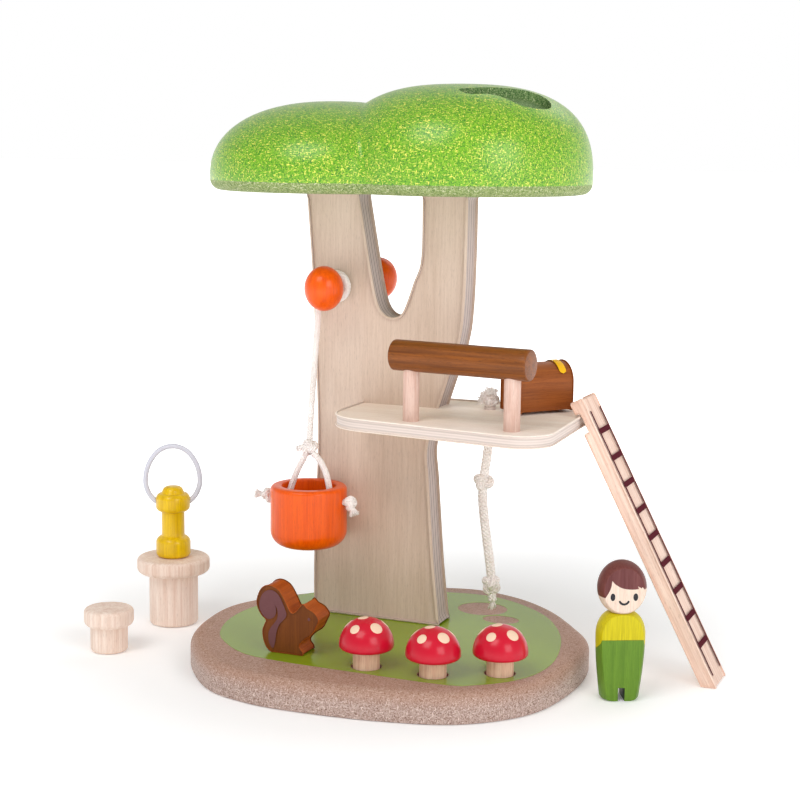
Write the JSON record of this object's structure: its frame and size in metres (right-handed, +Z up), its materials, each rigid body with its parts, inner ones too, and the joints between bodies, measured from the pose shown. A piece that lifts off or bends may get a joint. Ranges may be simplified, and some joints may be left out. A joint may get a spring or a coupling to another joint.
{
  "type": "toy tree house set",
  "caption": "Wooden toy tree house: two-lobed canopy on a forked trunk, platform with rail, rope, ladder, bucket on a pulley, mushrooms, squirrel, table, stool, lantern and doll.",
  "frame": {"origin": "on the floor, on the base's underside, straight below the middle of the trunk panel", "axes": "+X to the right along the trunk panel, towards the ladder; +Y to the back, away from the squirrel and mushrooms; +Z up"},
  "size_m": [0.3442, 0.2079, 0.3145],
  "materials": {
    "base_composite": "fine speckled brown composite, satin",
    "trunk_ply": "pale plywood, satin, layered edges",
    "steel": "zinc-plated screw",
    "canopy_paint": "green stain on wood, satin",
    "plain_dowel": "plain beech dowel",
    "platform_ply": "pale plywood, satin",
    "post_wood": "pale dowel, satin",
    "log_stain": "brown stain on wood, satin",
    "orange_paint": "orange lacquer, glossy",
    "cotton_rope": "twisted undyed cotton",
    "ladder_wood": "pale wood with a printed ladder",
    "mushroom_red": "red lacquer, glossy",
    "stem_wood": "plain dowel",
    "squirrel_stain": "dark brown stain, lighter edges",
    "stump_wood": "plain wood, satin",
    "lantern_paint": "yellow lacquer, glossy",
    "loop_cord": "white cord",
    "doll_clothes": "yellow and green stain, satin",
    "doll_skin": "light stain, satin"
  },
  "bodies": {
    "tree": {"base_board": "base_composite", "trunk_panel": "trunk_ply", "trunk_screws": "steel", "canopy": "canopy_paint", "canopy_dowels": "plain_dowel", "platform": "platform_ply", "rail_post_left": "post_wood", "rail_post_right": "post_wood", "rail_log": "log_stain", "rope_knot_top": "cotton_rope"},
    "pulley": {"pulley_axle": "plain_dowel", "knob_front": "orange_paint", "knob_back": "orange_paint", "rope_coil": "cotton_rope"},
    "hoist": {"bucket_line": "cotton_rope", "line_knot": "cotton_rope", "handle_strand_left": "cotton_rope", "handle_strand_right": "cotton_rope"},
    "bucket": {"bucket": "orange_paint", "handle_knot_left": "cotton_rope", "handle_knot_right": "cotton_rope"},
    "climbing_rope": {"climbing_rope": "cotton_rope", "rope_knot_middle": "cotton_rope", "rope_knot_end": "cotton_rope"},
    "ladder": {"ladder": "ladder_wood"},
    "chest": {"chest": "log_stain"},
    "mushroom_1": {"mushroom_cap_1": "mushroom_red", "mushroom_stem_1": "stem_wood"},
    "mushroom_2": {"mushroom_cap_2": "mushroom_red", "mushroom_stem_2": "stem_wood"},
    "mushroom_3": {"mushroom_cap_3": "mushroom_red", "mushroom_stem_3": "stem_wood"},
    "squirrel": {"squirrel": "squirrel_stain"},
    "table": {"stump_top": "stump_wood", "stump_leg": "stump_wood"},
    "lantern": {"lantern_post": "lantern_paint", "lantern_loop": "loop_cord"},
    "stool": {"stool_seat": "stump_wood", "stool_leg": "stump_wood"},
    "doll": {"doll_body": "doll_clothes", "doll_neck_pin": "plain_dowel"},
    "doll_head": {"doll_head": "doll_skin"}
  },
  "joints": [
    {"name": "pulley_turn", "type": "hinge", "parent": "tree", "child": "pulley", "pos_m": [-0.0242, 0, 0.2038], "axis": [0, 1, 0], "range_deg": [-283, 268]},
    {"name": "bucket_lift", "type": "slide", "parent": "tree", "child": "hoist", "axis": [0, 0, 1], "range_m": [-0.037, 0.035], "deforming": ["bucket_line"]},
    {"name": "bucket_tip", "type": "hinge", "parent": "hoist", "child": "bucket", "pos_m": [-0.031, -0.0318, 0.087], "axis": [1, 0, 0], "range_deg": [-25, 3.5]},
    {"name": "climbing_rope_swing", "type": "hinge", "parent": "tree", "child": "climbing_rope", "pos_m": [0.0625, 0.002, 0.133], "axis": [1, 0, 0], "range_deg": [-20, 20]},
    {"name": "ladder_unhook", "type": "slide", "parent": "tree", "child": "ladder", "axis": [0.5, 0, 0.866], "range_m": [0, 0.08]},
    {"name": "chest_lift", "type": "slide", "parent": "tree", "child": "chest", "axis": [0, 0, 1], "range_m": [0, 0.05]},
    {"name": "mushroom_lift_1", "type": "slide", "parent": "tree", "child": "mushroom_1", "axis": [0, 0, 1], "range_m": [0, 0.03]},
    {"name": "mushroom_lift_2", "type": "slide", "parent": "tree", "child": "mushroom_2", "axis": [0, 0, 1], "range_m": [0, 0.03]},
    {"name": "mushroom_lift_3", "type": "slide", "parent": "tree", "child": "mushroom_3", "axis": [0, 0, 1], "range_m": [0, 0.03]},
    {"name": "squirrel_lift", "type": "slide", "parent": "tree", "child": "squirrel", "axis": [0, 0, 1], "range_m": [0, 0.05]},
    {"name": "table_lift", "type": "slide", "parent": "tree", "child": "table", "axis": [0, 0, 1], "range_m": [0, 0.03]},
    {"name": "lantern_lift", "type": "slide", "parent": "table", "child": "lantern", "axis": [0, 0, 1], "range_m": [0, 0.05]},
    {"name": "stool_lift", "type": "slide", "parent": "tree", "child": "stool", "axis": [0, 0, 1], "range_m": [0, 0.03]},
    {"name": "doll_lift", "type": "slide", "parent": "tree", "child": "doll", "axis": [0, 0, 1], "range_m": [0, 0.03]},
    {"name": "doll_head_turn", "type": "hinge", "parent": "doll", "child": "doll_head", "pos_m": [0.1501, -0.0395, 0.046], "axis": [0, 0, 1], "range_deg": [-90, 90]}
  ],
  "couplings": [
    {"joint": "pulley_turn", "follows": "bucket_lift", "rad_per_m": 133.33}
  ]
}
